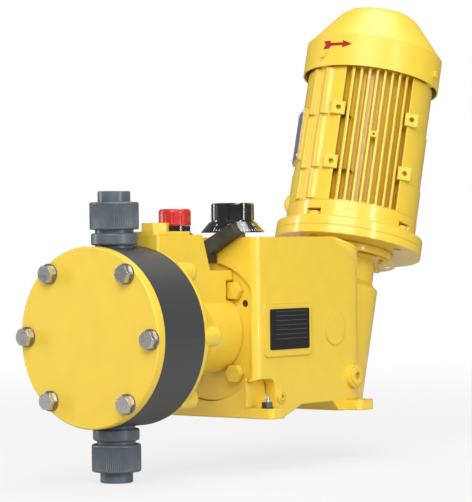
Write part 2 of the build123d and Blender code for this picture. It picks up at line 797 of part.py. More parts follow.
def worm_shaft():
    low = worm_height - worm_length / 2
    high = worm_height + worm_length / 2
    shaft = turned([
        (0, low - worm_bearing_width - 3), (worm_journal_radius, low - worm_bearing_width - 3),
        (worm_journal_radius, low), (worm_radius, low), (worm_radius, high), (worm_journal_radius + 2, high + 4),
        (worm_journal_radius + 2, -42 - worm_bearing_width), (worm_journal_radius, -42 - worm_bearing_width),
        (worm_journal_radius, -2), (0, -2)])
    shaft -= disc(shaft_radius + seat_gap, 60, -32)
    return motor_axis * shaft


def worm_bearings():
    low = worm_height - worm_length / 2 - worm_bearing_width
    bearing = ring(worm_bearing_radius, worm_journal_radius + run_gap, worm_bearing_width)
    return motor_axis * Compound(children=[Pos(0, 0, z) * bearing for z in (low - 1, -42 - worm_bearing_width)])


# ---- stroke knob ---------------------------------------------------------
def stroke_knob():
    skirt_top = knob_skirt_height
    knob = turned([(0, 0), (knob_skirt_radius, 0), (knob_skirt_radius, 0.8), (knob_neck_radius, skirt_top),
                   (knob_radius, skirt_top), (knob_radius, knob_height - 1.5), (knob_radius - 1.5, knob_height),
                   (0, knob_height)])
    flute = Pos(knob_radius + 10.5, 0, skirt_top + 1.5) * disc(12, knob_height)
    for index in range(knob_flutes):
        knob -= Rot(0, 0, 360 / knob_flutes * (index + 0.5)) * flute
    knob -= disc(spindle_radius + run_gap, spindle_grip + 2, -1)
    return Pos(0, station(knob_y), knob_base) * knob


def stroke_spindle():
    low = axis_height + crosshead_radius + spindle_travel + 1.0
    high = knob_base + spindle_grip
    spindle = disc(spindle_radius, high - low)
    spindle = chamfer(spindle.edges().group_by(Axis.Z)[0], 2.5)
    return Pos(0, station(knob_y), low) * spindle


# ---- motor ---------------------------------------------------------------
def motor_adapter():
    plate = disc(adapter_radius, adapter_thickness)
    plate -= disc(worm_bearing_radius + 4, adapter_thickness + 2, -1)
    plate -= disc(spigot_radius + seat_gap, spigot_height + 1, adapter_thickness - spigot_height)
    for place in on_circle(flange_bolt_circle_radius, [0, 90, 180, 270]):
        plate -= place * disc(flange_bolt_radius, adapter_thickness + 2, -1)
    for turn in hub_bolt_turns():
        plate -= Rot(0, 0, turn) * Pos(hub_bolt_circle_radius, 0, -1) * disc(hub_bolt_radius + seat_gap, 8)
    return motor_axis * plate


shield_base = adapter_thickness + motor_flange_thickness
frame_start = shield_base + shield_height
frame_end = frame_start + frame_length


def end_shield():
    shield = disc(adapter_radius, motor_flange_thickness, adapter_thickness)
    shield = fillet(shield.edges().group_by(Axis.Z)[-1], 2)
    shield += turned([(0, shield_base - 1), (shield_radius + 6, shield_base - 1), (shield_radius + 1, shield_base + 6),
                      (shield_radius, frame_start), (0, frame_start)])
    shield += disc(spigot_radius, spigot_height, adapter_thickness - spigot_height)
    shield -= disc(46, frame_start - adapter_thickness - 8, adapter_thickness + 8)
    shield -= disc(26, 40, adapter_thickness - spigot_height - 1)
    for place in on_circle(flange_bolt_circle_radius, [0, 90, 180, 270]):
        shield -= place * disc(flange_bolt_radius, 60, -1)
        shield -= place * disc(flange_nut_pocket_radius, 14, shield_base)
    return motor_axis * shield


def fin_bank():
    """Parallel fins on one side of the frame, facing local +X."""
    bank = None
    for index in range(fins_per_side):
        offset = fin_pitch * (index - (fins_per_side - 1) / 2)
        reach = math.sqrt(fin_tip_radius ** 2 - offset ** 2)
        root = math.sqrt(frame_core_radius ** 2 - offset ** 2) - 1.5
        fin = block((root, reach), (offset - fin_thickness / 2, offset + fin_thickness / 2), (0, frame_length))
        bank = fin if bank is None else bank + fin
    return bank


def foot_pads():
    pads = None
    for height in (foot_pad_first, foot_pad_second):
        for side in (-1, 1):
            half = foot_pad_side / 2
            y_range = (side * foot_pad_offset - half, side * foot_pad_offset + half)
            root = math.sqrt(frame_core_radius ** 2 - (foot_pad_offset - half) ** 2) - 16
            z_middle = height - frame_start
            pad = block((root, foot_pad_reach), y_range, (z_middle - half, z_middle + half))
            centre = Pos(foot_pad_reach - 12, side * foot_pad_offset, z_middle) * Rot(0, 90, 0)
            pad -= centre * disc(foot_pad_hole_radius, 20)
            pads = pad if pads is None else pads + pad
    return pads


def motor_frame():
    body = disc(frame_core_radius, frame_length)
    bank = fin_bank()
    for turn in (-45, 45, 135, -135):
        body += Rot(0, 0, turn) * bank
    for turn in (0, 90, 180, 270):
        half = side_rib_width / 2
        body += Rot(0, 0, turn) * block((50, fin_tip_radius + 0.5), (-half, half), (0, frame_length))
    body += foot_face * foot_pads()
    # terminal box seat opposite the feet
    seat_half = terminal_box_width / 2 - 4
    seat_length = terminal_box_length - 8
    seat_low = frame_length / 2 - seat_length / 2
    opposite = Rot(0, 0, 135)
    body += opposite * block((30, fin_tip_radius + 3), (-seat_half, seat_half), (seat_low, seat_low + seat_length))
    body -= disc(frame_inner_radius, frame_length + 2, -1)
    return motor_axis * Pos(0, 0, frame_start) * body


def terminal_box():
    half = terminal_box_width / 2
    low = frame_length / 2 - terminal_box_length / 2
    box = block((fin_tip_radius + 3, terminal_box_reach), (-half, half), (low, low + terminal_box_length))
    box = fillet(box.edges().filter_by(Axis.X), 7)
    inner = block((fin_tip_radius + 7, terminal_box_reach + 1), (-half + 4, half - 4),
                  (low + 4, low + terminal_box_length - 4))
    box -= inner
    gland = Pos((fin_tip_radius + terminal_box_reach) / 2, 0, low + 1) * Rot(180, 0, 0) * disc(gland_radius, gland_length)
    box += gland
    return motor_axis * Pos(0, 0, frame_start) * Rot(0, 0, 135) * box


def terminal_lid():
    half = terminal_box_width / 2
    low = frame_length / 2 - terminal_box_length / 2
    lid = block((terminal_box_reach, terminal_box_reach + terminal_lid_thickness), (-half, half),
                (low, low + terminal_box_length))
    lid = fillet(lid.edges().filter_by(Axis.X), 7)
    lid = fillet(lid.faces().sort_by(Axis.X)[-1].edges(), 2.5)
    return motor_axis * Pos(0, 0, frame_start) * Rot(0, 0, 135) * lid


def motor_shaft():
    low = adapter_thickness - spigot_height - shaft_below_flange
    high = cowl_top - 22
    shaft = disc(shaft_radius, high - low, low)
    shaft += disc(12, frame_length + 8, frame_start - 8)
    return motor_axis * shaft


def rotor_core():
    middle = frame_start + frame_length / 2
    core = ring(rotor_core_radius, 12 + seat_gap, rotor_core_length, middle - rotor_core_length / 2)
    return motor_axis * core


def stator_core():
    middle = frame_start + frame_length / 2
    core = ring(frame_inner_radius - seat_gap, rotor_core_radius + stator_bore_gap, stator_length,
                middle - stator_length / 2)
    return motor_axis * core


def motor_bearings():
    front = ring(26 - seat_gap, 12 + run_gap, 12, frame_start - 8)
    front = ring(46 - seat_gap, 12 + run_gap, 8, frame_start - 8)
    rear = ring(24, 12 + run_gap, 10, frame_end - 10)
    return motor_axis * Compound(children=[front, rear])


def rear_shield():
    shield = disc(frame_core_radius + 6, 7, frame_end)
    shield += disc(frame_inner_radius - seat_gap, 10, frame_end - 10)
    shield -= disc(24 + seat_gap, 12, frame_end - 11)
    shield -= disc(shaft_radius + 7, 20, frame_end - 5)
    for angle in cowl_screw_angles:
        shield += Rot(0, 0, angle) * block((fan_radius + 4, cowl_radius - cowl_wall), (-7, 7), (frame_end, frame_end + 20))
    for place in cowl_screw_places:
        shield -= place * disc(cowl_thread_radius + seat_gap, 20, cowl_radius - 12)
    shield &= disc(cowl_radius - cowl_wall - 0.3, 60, frame_end - 20)
    return motor_axis * shield


def fan():
    base = frame_end + 11
    wheel = disc(18, fan_height, base) + disc(fan_radius - 8, 3, base)
    blade = block((12, fan_radius), (-1.2, 1.2), (base, base + fan_height))
    for index in range(fan_blades):
        wheel += Rot(0, 0, 360 / fan_blades * index) * blade
    wheel -= disc(shaft_radius + seat_gap, 80, base - 10)
    return motor_axis * wheel


def fan_cowl():
    wall = cowl_wall
    outer = [(0, cowl_start), (cowl_radius, cowl_start), (cowl_radius, cowl_shoulder),
             (cowl_cone_radius, cowl_cone_end), (cowl_cone_radius - 8, cowl_top - 3),
             (cowl_cone_radius - 26, cowl_top), (0, cowl_top)]
    inner = [(0, cowl_start - 1), (cowl_radius - wall, cowl_start - 1), (cowl_radius - wall, cowl_shoulder - 0.5),
             (cowl_cone_radius - wall, cowl_cone_end - 0.7), (cowl_cone_radius - 8 - wall / 2, cowl_top - 3 - wall),
             (cowl_cone_radius - 26, cowl_top - wall), (0, cowl_top - wall)]
    cowl = turned(outer) - turned(inner)
    for radius, count in ((12, 8), (20, 12), (28, 18), (35, 22)):
        for place in on_circle(radius, [360 / count * i for i in range(count)]):
            cowl -= place * disc(2.4, 20, cowl_top - 12)
    for place in cowl_screw_places:
        cowl -= place * disc(cowl_thread_radius + 0.2, 12, cowl_radius - 6)
    return motor_axis * cowl


def cowl_screws():
    screw = disc(cowl_screw_radius, 2.6, cowl_radius)
    screw += disc(cowl_thread_radius, 8, cowl_radius - 8)
    return Compound(children=[motor_axis * place * screw for place in cowl_screw_places])


def flange_nuts():
    nut = hexagon(13, 6.5, shield_base) + disc(flange_bolt_radius - 0.5, shield_base + 9 + 5, -5)
    head = hexagon(13, 5.5, -5.5)
    solids = [motor_axis * place * (nut + head) for place in on_circle(flange_bolt_circle_radius, [0, 90, 180, 270])]
    return Compound(children=solids)


def motor_plate():
    plate = Box(1.0, plate_pad_width, plate_pad_length)
    return motor_axis * Rot(0, 0, -45 - 90) * Pos(fin_tip_radius + 0.5, 0, frame_start + 0.52 * frame_length) * plate


# ---- all nodes -----------------------------------------------------------
nodes = {
    "clamping_plate": clamping_plate(),
    "liquid_head": liquid_head(),
    "head_screws": head_screws(),
    "head_washers": head_washers(),
    "diaphragm": diaphragm(),
    "support_plate": support_plate(),
    "discharge_valve_housing": valve_housing(0),
    "discharge_seat": valve_seat(0),
    "discharge_ball": valve_ball(0),
    "discharge_union_nut": union_nut(0),
    "discharge_socket": pipe_socket(0),
    "suction_valve_housing": valve_housing(180),
    "suction_seat": valve_seat(180),
    "suction_ball": valve_ball(180),
    "suction_union_nut": union_nut(180),
    "suction_socket": pipe_socket(180),
    "bell": bell(),
    "relief_plug": relief_plug(),
    "fill_neck": fill_neck(),
    "fill_cap": fill_cap(),
    "plunger_liner": plunger_liner(),
    "bell_bolts": bell_bolts(),
    "gear_housing": gear_housing(),
    "hub_bolts": hub_bolts(),
    "label_plate": label_plate(),
    "drain_plug": drain_plug(),
    "level_plug": level_plug(),
    "earth_stud": earth_stud(),
    "earth_nut": earth_nut(),
    "slot_guard": slot_guard(),
    "plunger": plunger(),
    "crosshead": crosshead(),
    "worm_wheel": worm_wheel(),
    "eccentric_shaft": eccentric_shaft(),
    "wheel_bearings": wheel_bearings(),
    "worm_shaft": worm_shaft(),
    "worm_bearings": worm_bearings(),
    "stroke_knob": stroke_knob(),
    "stroke_spindle": stroke_spindle(),
    "motor_adapter": motor_adapter(),
    "end_shield": end_shield(),
    "motor_frame": motor_frame(),
    "terminal_box": terminal_box(),
    "terminal_lid": terminal_lid(),
    "motor_shaft": motor_shaft(),
    "rotor_core": rotor_core(),
    "stator_core": stator_core(),
    "motor_bearings": motor_bearings(),
    "rear_shield": rear_shield(),
    "fan": fan(),
    "fan_cowl": fan_cowl(),
    "cowl_screws": cowl_screws(),
    "flange_nuts": flange_nuts(),
    "motor_plate": motor_plate(),
}
for name, shape in nodes.items():
    write(name, shape)
print(len(nodes), "nodes; centre distance", round(centre_distance, 2), "wheel radius", round(wheel_radius, 2))
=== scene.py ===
import math

import bmesh
import bpy
from mathutils import Matrix, Vector


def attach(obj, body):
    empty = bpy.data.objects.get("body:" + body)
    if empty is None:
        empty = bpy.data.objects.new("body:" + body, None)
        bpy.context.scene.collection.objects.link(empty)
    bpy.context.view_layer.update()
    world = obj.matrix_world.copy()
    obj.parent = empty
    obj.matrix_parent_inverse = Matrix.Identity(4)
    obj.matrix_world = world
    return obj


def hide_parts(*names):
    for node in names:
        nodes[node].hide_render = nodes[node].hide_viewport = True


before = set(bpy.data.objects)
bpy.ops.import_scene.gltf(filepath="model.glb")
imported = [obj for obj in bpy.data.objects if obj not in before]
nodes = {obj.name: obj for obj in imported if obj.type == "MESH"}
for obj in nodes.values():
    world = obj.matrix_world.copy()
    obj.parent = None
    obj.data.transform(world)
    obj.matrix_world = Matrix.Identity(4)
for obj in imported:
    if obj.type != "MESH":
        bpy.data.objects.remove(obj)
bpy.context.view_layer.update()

# What a user would change is in a dictionary beside each piece. Lengths are in metres, angles in degrees.
paintSet = {"color": (0.785, 0.545, 0.045), "fine": 620, "coarse": 45, "light": 1.01, "dark": 0.975,
            "smoother": 0.04, "rougher": 0.06}
metalSet = {"coarse": 150, "strength": 0.04, "distance": 0.0001, "edgeRadius": 0.0006,
            "light": 1.05, "dark": 0.88, "smoother": 0.06, "rougher": 0.10}
grainSet = {"detail": (3, 4), "colorSpan": (0.35, 0.65), "roughSpan": (0.3, 0.7), "edgeSamples": 4}
mixColors = (6, 7)  # the sockets of a Mix node that take its two colours
mixResult = 2


def makeMaterial(name, color, rough, metallic=0.0, coat=0.0, coatRough=0.1, specular=0.5):
    mat = bpy.data.materials.new(name)
    mat.use_nodes = True
    shader = mat.node_tree.nodes["Principled BSDF"]
    shader.inputs["Base Color"].default_value = (*color, 1)
    shader.inputs["Roughness"].default_value = rough
    shader.inputs["Metallic"].default_value = metallic
    shader.inputs["Coat Weight"].default_value = coat
    shader.inputs["Coat Roughness"].default_value = coatRough
    shader.inputs["Specular IOR Level"].default_value = specular
    return mat


def addNode(mat, kind, **values):
    node = mat.node_tree.nodes.new(kind)
    for key, value in values.items():
        if key in node.inputs:
            node.inputs[key].default_value = value
        else:
            setattr(node, key, value)
    return node


def link(mat, a, b):
    mat.node_tree.links.new(a, b)


def shaderOf(mat):
    return mat.node_tree.nodes["Principled BSDF"]


def coordOf(mat):
    return addNode(mat, "ShaderNodeTexCoord").outputs["Object"]


def spreadTo(mat, mask, fromSpan, toSpan, socket):
    # stretches a mask to a span of values and feeds them to a socket
    spread = addNode(mat, "ShaderNodeMapRange")
    for key, value in zip(("From Min", "From Max", "To Min", "To Max"), (*fromSpan, *toSpan)):
        spread.inputs[key].default_value = value
    link(mat, mask, spread.inputs["Value"])
    link(mat, spread.outputs["Result"], socket)
    return spread


def blendColors(mat, colors):
    # mixes two colours into the base colour, and returns the socket for the mask
    blend = addNode(mat, "ShaderNodeMix", data_type="RGBA")
    for socket, color in zip(mixColors, colors):
        blend.inputs[socket].default_value = (*color, 1)
    link(mat, blend.outputs[mixResult], shaderOf(mat).inputs["Base Color"])
    return blend.inputs["Factor"]


def addBump(mat, height, strength, distance, edgeRadius):
    # bump over edges that a bevel node softens
    bump = addNode(mat, "ShaderNodeBump", Strength=strength, Distance=distance)
    soft = addNode(mat, "ShaderNodeBevel", samples=grainSet["edgeSamples"], Radius=edgeRadius)
    link(mat, height, bump.inputs["Height"])
    link(mat, soft.outputs["Normal"], bump.inputs["Normal"])
    link(mat, bump.outputs["Normal"], shaderOf(mat).inputs["Normal"])


def surfaceGroup():
    # noise at two scales: their sum is the height, and the coarse one is the mask for blotches
    group = bpy.data.node_groups.new("surfaceGrain", "ShaderNodeTree")
    face = group.interface
    face.new_socket("Vector", in_out="INPUT", socket_type="NodeSocketVector")
    for name in ("Fine", "Coarse"):
        face.new_socket(name, in_out="INPUT", socket_type="NodeSocketFloat")
    for name in ("Height", "Blotch"):
        face.new_socket(name, in_out="OUTPUT", socket_type="NodeSocketFloat")
    start = group.nodes.new("NodeGroupInput")
    end = group.nodes.new("NodeGroupOutput")
    height = group.nodes.new("ShaderNodeMath")
    height.operation = "ADD"
    for index, name in enumerate(("Fine", "Coarse")):
        noise = group.nodes.new("ShaderNodeTexNoise")
        noise.inputs["Detail"].default_value = grainSet["detail"][index]
        group.links.new(start.outputs["Vector"], noise.inputs["Vector"])
        group.links.new(start.outputs[name], noise.inputs["Scale"])
        group.links.new(noise.outputs["Fac"], height.inputs[index])
        if name == "Coarse":
            group.links.new(noise.outputs["Fac"], end.inputs["Blotch"])
    group.links.new(height.outputs[0], end.inputs["Height"])
    return group


grainGroup = surfaceGroup()


def addGrain(mat, fine, coarse, strength, distance, edgeRadius, colors, roughSpan):
    grain = addNode(mat, "ShaderNodeGroup", node_tree=grainGroup)
    link(mat, coordOf(mat), grain.inputs["Vector"])
    grain.inputs["Fine"].default_value = fine
    grain.inputs["Coarse"].default_value = coarse
    addBump(mat, grain.outputs["Height"], strength, distance, edgeRadius)
    blotch = grain.outputs["Blotch"]
    spreadTo(mat, blotch, grainSet["colorSpan"], (0, 1), blendColors(mat, colors))
    spreadTo(mat, blotch, grainSet["roughSpan"], roughSpan, shaderOf(mat).inputs["Roughness"])


def makeFinish(name, grain=None, **values):
    mat = makeMaterial(name, **values)
    if grain:
        addGrain(mat, **grain)
    return mat


def blotched(color, rough, blotches):
    # the two tints of a colour and the span of roughness between them
    tints = [tuple(min(1, channel * blotches[key]) for channel in color) for key in ("light", "dark")]
    return {"colors": tints, "roughSpan": (rough - blotches["smoother"], rough + blotches["rougher"])}


def paint(rough, strength, distance, edgeRadius, coat=0.4, coatRough=0.11):
    color = paintSet["color"]
    grain = {"fine": paintSet["fine"], "coarse": paintSet["coarse"], "strength": strength,
             "distance": distance, "edgeRadius": edgeRadius, **blotched(color, rough, paintSet)}
    return {"color": color, "rough": rough, "coat": coat, "coatRough": coatRough, "grain": grain}


def metal(color, rough, fine):
    shared = {key: metalSet[key] for key in ("coarse", "strength", "distance", "edgeRadius")}
    grain = {"fine": fine, **shared, **blotched(color, rough, metalSet)}
    return {"color": color, "rough": rough, "metallic": 1.0, "grain": grain}


def grained(fine, coarse, strength, distance, edgeRadius, colors, roughSpan):
    return {"fine": fine, "coarse": coarse, "strength": strength, "distance": distance,
            "edgeRadius": edgeRadius, "colors": colors, "roughSpan": roughSpan}


# A finish is a colour and a roughness. Its grain is: fine and coarse scale, strength and height of the bump,
# width of a softened edge, the two colours that it moves between, and the span of roughness.
finishSet = {
    "castPaint": paint(0.36, strength=0.22, distance=0.0004, edgeRadius=0.0024),
    "blendPaint": paint(0.36, strength=0.22, distance=0.0004, edgeRadius=0.0),
    "smoothPaint": paint(0.42, strength=0.10, distance=0.0002, edgeRadius=0.0010, coat=0.15, coatRough=0.30),
    "shadePaint": {"color": (0.035, 0.022, 0.006), "rough": 0.7},
    "arrowPaint": {"color": (0.36, 0.008, 0.006), "rough": 0.5, "specular": 0.3},
    "whitePaint": {"color": (0.80, 0.80, 0.78), "rough": 0.5},
    "headPlastic": {"color": (0.040, 0.043, 0.044), "rough": 0.50},
    "unionPlastic": {"color": (0.085, 0.105, 0.125), "rough": 0.34, "grain": grained(
        700, 90, 0.12, 0.0002, 0.0006, ((0.080, 0.100, 0.120), (0.098, 0.118, 0.140)), (0.30, 0.42))},
    "redPlastic": {"color": (0.52, 0.020, 0.014), "rough": 0.30, "coat": 0.2, "grain": grained(
        600, 120, 0.08, 0.0002, 0.0008, ((0.54, 0.020, 0.014), (0.46, 0.016, 0.011)), (0.26, 0.38))},
    "blackGloss": {"color": (0.012, 0.012, 0.013), "rough": 0.20, "coat": 1.0, "grain": grained(
        500, 80, 0.05, 0.0002, 0.0010, ((0.007, 0.007, 0.008), (0.013, 0.013, 0.014)), (0.12, 0.24))},
    "guardBlack": {"color": (0.022, 0.021, 0.016), "rough": 0.45, "grain": grained(
        800, 120, 0.15, 0.0003, 0.0008, ((0.022, 0.021, 0.016), (0.034, 0.032, 0.024)), (0.38, 0.52))},
    "labelFilm": {"color": (0.010, 0.010, 0.011), "rough": 0.34, "specular": 0.35},
    "ceramic": {"color": (0.82, 0.80, 0.75), "rough": 0.12},
    "sealWhite": {"color": (0.78, 0.78, 0.76), "rough": 0.4},
    "darkSteel": {"color": (0.05, 0.05, 0.052), "rough": 0.35, "metallic": 0.6, "grain": grained(
        500, 120, 0.06, 0.0001, 0.0005, ((0.05, 0.05, 0.052), (0.08, 0.08, 0.08)), (0.3, 0.42))},
    "stainless": metal((0.66, 0.64, 0.61), 0.26, fine=400),
    "washerSteel": metal((0.30, 0.29, 0.27), 0.34, fine=400),
    "machined": metal((0.46, 0.46, 0.46), 0.32, fine=900),
    "bronze": metal((0.50, 0.33, 0.13), 0.30, fine=900),
    "plateMetal": metal((0.50, 0.50, 0.48), 0.38, fine=900),
}
finish = {name: makeFinish(name, **values) for name, values in finishSet.items()}

# fine turning marks on the liquid head, along its own axis
turnedSet = {"axisTurn": (90, 0, 0), "scale": 1800, "detail": 2.0, "strength": 0.25, "distance": 0.0003,
             "edgeRadius": 0.0008, "roughSpan": (0.34, 0.52)}


def turnedRings(mat):
    mapping = addNode(mat, "ShaderNodeMapping")
    mapping.inputs["Rotation"].default_value = [math.radians(angle) for angle in turnedSet["axisTurn"]]
    link(mat, coordOf(mat), mapping.inputs["Vector"])
    split = addNode(mat, "ShaderNodeSeparateXYZ")
    link(mat, mapping.outputs["Vector"], split.inputs["Vector"])
    noise = addNode(mat, "ShaderNodeTexNoise", Scale=turnedSet["scale"], Detail=turnedSet["detail"],
                    noise_dimensions="1D")
    link(mat, split.outputs["Z"], noise.inputs["W"])
    addBump(mat, noise.outputs["Fac"], turnedSet["strength"], turnedSet["distance"], turnedSet["edgeRadius"])
    spreadTo(mat, noise.outputs["Fac"], (0, 1), turnedSet["roughSpan"], shaderOf(mat).inputs["Roughness"])


# thin level lines on the label, left empty: their middle and half size are across and up
labelSet = {"spacing": 0.0046, "lineShare": 0.09, "middle": (-0.037, 0.095), "half": (0.026, 0.0185),
            "line": (0.10, 0.10, 0.10), "grain": 500.0, "roughSpan": (0.28, 0.42)}


def ruledLines(mat):
    split = addNode(mat, "ShaderNodeSeparateXYZ")
    link(mat, coordOf(mat), split.inputs["Vector"])

    def maths(operation, *values):
        node = addNode(mat, "ShaderNodeMath", operation=operation)
        for index, value in enumerate(values):
            if isinstance(value, (int, float)):
                node.inputs[index].default_value = value
            else:
                link(mat, value, node.inputs[index])
        return node.outputs[0]

    share = maths("FRACT", maths("DIVIDE", split.outputs["Z"], labelSet["spacing"]))
    thin = maths("LESS_THAN", share, labelSet["lineShare"])
    inside = maths("COMPARE", split.outputs["Y"], labelSet["middle"][0], labelSet["half"][0])
    level = maths("COMPARE", split.outputs["Z"], labelSet["middle"][1], labelSet["half"][1])
    mask = maths("MULTIPLY", maths("MULTIPLY", thin, inside), level)
    link(mat, mask, blendColors(mat, (finishSet["labelFilm"]["color"], labelSet["line"])))
    noise = addNode(mat, "ShaderNodeTexNoise", Scale=labelSet["grain"])
    link(mat, coordOf(mat), noise.inputs["Vector"])
    spreadTo(mat, noise.outputs["Fac"], (0, 1), labelSet["roughSpan"], shaderOf(mat).inputs["Roughness"])


turnedRings(finish["headPlastic"])
ruledLines(finish["labelFilm"])

finishOf = {
    "castPaint": "bell gear_housing motor_frame end_shield motor_adapter rear_shield terminal_box "
                 "terminal_lid bell_bolts hub_bolts flange_nuts drain_plug level_plug",
    "smoothPaint": "clamping_plate fan_cowl relief_plug cowl_screws",
    "headPlastic": "liquid_head",
    "unionPlastic": "discharge_valve_housing discharge_socket discharge_union_nut suction_valve_housing "
                    "suction_socket suction_union_nut",
    "redPlastic": "fill_cap",
    "blackGloss": "stroke_knob fill_neck fan",
    "guardBlack": "slot_guard",
    "labelFilm": "label_plate",
    "plateMetal": "motor_plate",
    "ceramic": "discharge_seat suction_seat discharge_ball suction_ball",
    "sealWhite": "diaphragm",
    "bronze": "worm_wheel",
    "stainless": "head_screws earth_stud support_plate plunger plunger_liner",
    "washerSteel": "head_washers",
    "darkSteel": "earth_nut",
    "machined": "crosshead eccentric_shaft wheel_bearings worm_shaft worm_bearings stroke_spindle rotor_core "
                "stator_core motor_bearings motor_shaft",
}
for finishName, nodeNames in finishOf.items():
    for nodeName in nodeNames.split():
        slots = nodes[nodeName].data.materials
        if not slots:
            slots.append(finish[finishName])
        for index in range(len(slots)):
            slots[index] = finish[finishName]
print("materials done")


def meshObject(name, bm, mat, body):
    mesh = bpy.data.meshes.new(name)
    bm.to_mesh(mesh)
    bm.free()
    obj = bpy.data.objects.new(name, mesh)
    bpy.context.scene.collection.objects.link(obj)
    mesh.materials.append(mat)
    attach(obj, body)
    return obj


def smoothByAngle(piece, limit=0.6):
    # smooth faces, with every edge sharper than the limit, in radians, kept sharp
    bm = bmesh.new()
    bm.from_mesh(piece.data)
    for face in bm.faces:
        face.smooth = True
    for edge in bm.edges:
        if len(edge.link_faces) == 2 and edge.calc_face_angle(0) > limit:
            edge.smooth = False
    bm.to_mesh(piece.data)
    bm.free()


def nodeBox(node):
    corners = [nodes[node].matrix_world @ v.co for v in nodes[node].data.vertices]
    return tuple(tuple(pick(c[axis] for c in corners) for axis in range(3)) for pick in (min, max))


def circle(radius, steps=96, centre=(0, 0)):
    spins = [2 * math.pi * index / steps for index in range(steps)]
    return [(centre[0] + radius * math.cos(spin), centre[1] + radius * math.sin(spin)) for spin in spins]


def quarterArc(centre, radius, start, steps=6):
    spins = [math.radians(start + 90 * index / steps) for index in range(steps + 1)]
    return [(centre[0] + radius * math.cos(spin), centre[1] + radius * math.sin(spin)) for spin in spins]


def hexagon(flats, centre):
    return circle(flats / math.sqrt(3), 6, centre)


def flatFace(bm, outline, level):
    return bm.faces.new([bm.verts.new((x, y, level)) for x, y in outline])


def only(kind, parts):
    return [part for part in parts if isinstance(part, kind)]


def raiseFace(bm, face, rise, keep=False):
    # extrudes a face along z, returns the raised one, and keeps the old one where it closes the solid
    grown = bmesh.ops.extrude_face_region(bm, geom=[face, *face.edges], use_keep_orig=keep)["geom"]
    bmesh.ops.translate(bm, vec=(0, 0, rise), verts=only(bmesh.types.BMVert, grown))
    return only(bmesh.types.BMFace, grown)[0]


def pushOut(bm, outline, low, high):
    # a solid on an outline, from one level to the other; the upper cap of a notched outline comes out folded
    rows = [[bm.verts.new((x, y, level)) for x, y in outline] for level in (low, high)]
    for index in range(len(outline)):
        after = (index + 1) % len(outline)
        bm.faces.new((rows[0][index], rows[0][after], rows[1][after], rows[1][index]))
    bmesh.ops.triangulate(bm, faces=[bm.faces.new(rows[0][::-1]), bm.faces.new(rows[1])])


def ball(bm, radius, segments):
    made = bmesh.ops.create_uvsphere(bm, u_segments=segments[0], v_segments=segments[1], radius=radius)
    return made["verts"]


def turnProfile(bm, profile, centre, steps, closed=False):
    # turns a profile, given as radius and level, once round an upright axis
    points = [bm.verts.new((centre[0] + radius, centre[1], level)) for radius, level in profile]
    pairs = zip(points, points[1:] + points[:1] if closed else points[1:])
    edges = [bm.edges.new(pair) for pair in pairs]
    bmesh.ops.spin(bm, geom=points + edges, cent=(*centre, 0), axis=(0, 0, 1), angle=2 * math.pi, steps=steps,
                   use_merge=True)


# the stroke knob's scale, on its sloping skirt
knobSet = {"centre": (0.0, -0.050), "base": 0.1858, "skirtRadius": 0.0324, "neckRadius": 0.0235,
           "skirtHeight": 0.0109, "skirtEdge": 0.0008, "lift": 0.00012, "range": 300, "steps": 10}
tickSet = {"width": 0.0006, "perStep": 5, "long": 0.0036, "short": 0.0020, "inset": 0.0004}
numberSet = {"size": 0.0042, "inset": 0.0058, "perStep": 10}


def knobPoint(angle, radius):
    share = (knobSet["skirtRadius"] - radius) / (knobSet["skirtRadius"] - knobSet["neckRadius"])
    rise = knobSet["skirtEdge"] + share * (knobSet["skirtHeight"] - knobSet["skirtEdge"])
    spin = math.radians(angle - 90)
    x = knobSet["centre"][0] + radius * math.cos(spin)
    y = knobSet["centre"][1] + radius * math.sin(spin)
    return Vector((x, y, knobSet["base"] + rise + knobSet["lift"]))


def knobTicks():
    bm = bmesh.new()
    spacing = knobSet["range"] / knobSet["steps"] / tickSet["perStep"]
    outer = knobSet["skirtRadius"] - tickSet["inset"]
    half = math.degrees(tickSet["width"] / 2 / outer)
    for index in range(knobSet["steps"] * tickSet["perStep"] + 1):
        angle = index * spacing
        inner = knobSet["skirtRadius"] - tickSet["short" if index % tickSet["perStep"] else "long"]
        corners = [knobPoint(angle - half, inner), knobPoint(angle + half, inner),
                   knobPoint(angle + half, outer), knobPoint(angle - half, outer)]
        bm.faces.new([bm.verts.new(corner) for corner in corners])
    return meshObject("knobTicks", bm, finish["whitePaint"], "knob")


def knobNumbers():
    bm = bmesh.new()
    spacing = knobSet["range"] / knobSet["steps"]
    radius = knobSet["skirtRadius"] - numberSet["inset"]
    for index in range(knobSet["steps"] + 1):
        curve = bpy.data.curves.new("knobNumber", "FONT")
        curve.body = str(index * numberSet["perStep"])
        curve.size = numberSet["size"]
        curve.align_x = "CENTER"
        curve.align_y = "CENTER"
        obj = bpy.data.objects.new("knobNumber%d" % index, curve)
        bpy.context.scene.collection.objects.link(obj)
        angle = index * spacing
        place = knobPoint(angle, radius)
        down = (knobPoint(angle, knobSet["skirtRadius"]) - place).normalized()
        across = Vector((math.cos(math.radians(angle)), math.sin(math.radians(angle)), 0))
        normal = across.cross(-down).normalized()
        obj.matrix_world = Matrix.Translation(place) @ Matrix((across, -down, normal)).transposed().to_4x4()
        bpy.context.view_layer.update()
        graph = bpy.context.evaluated_depsgraph_get()
        mesh = bpy.data.meshes.new_from_object(obj.evaluated_get(graph))
        mesh.transform(obj.matrix_world)
        bm.from_mesh(mesh)
        bpy.data.objects.remove(obj)
    return meshObject("knobNumbers", bm, finish["whitePaint"], "knob")


# The motor is built upright, round z with its hub face at zero, and then set on its tilted axis. An angle of
# 0 looks along X, and 90 looks to the front.
motorSet = {"place": (0.0, 0.1518, 0.1666), "tilt": 14.6}


def motorMatrix():
    return Matrix.Translation(motorSet["place"]) @ Matrix.Rotation(math.radians(-motorSet["tilt"]), 4, "X")


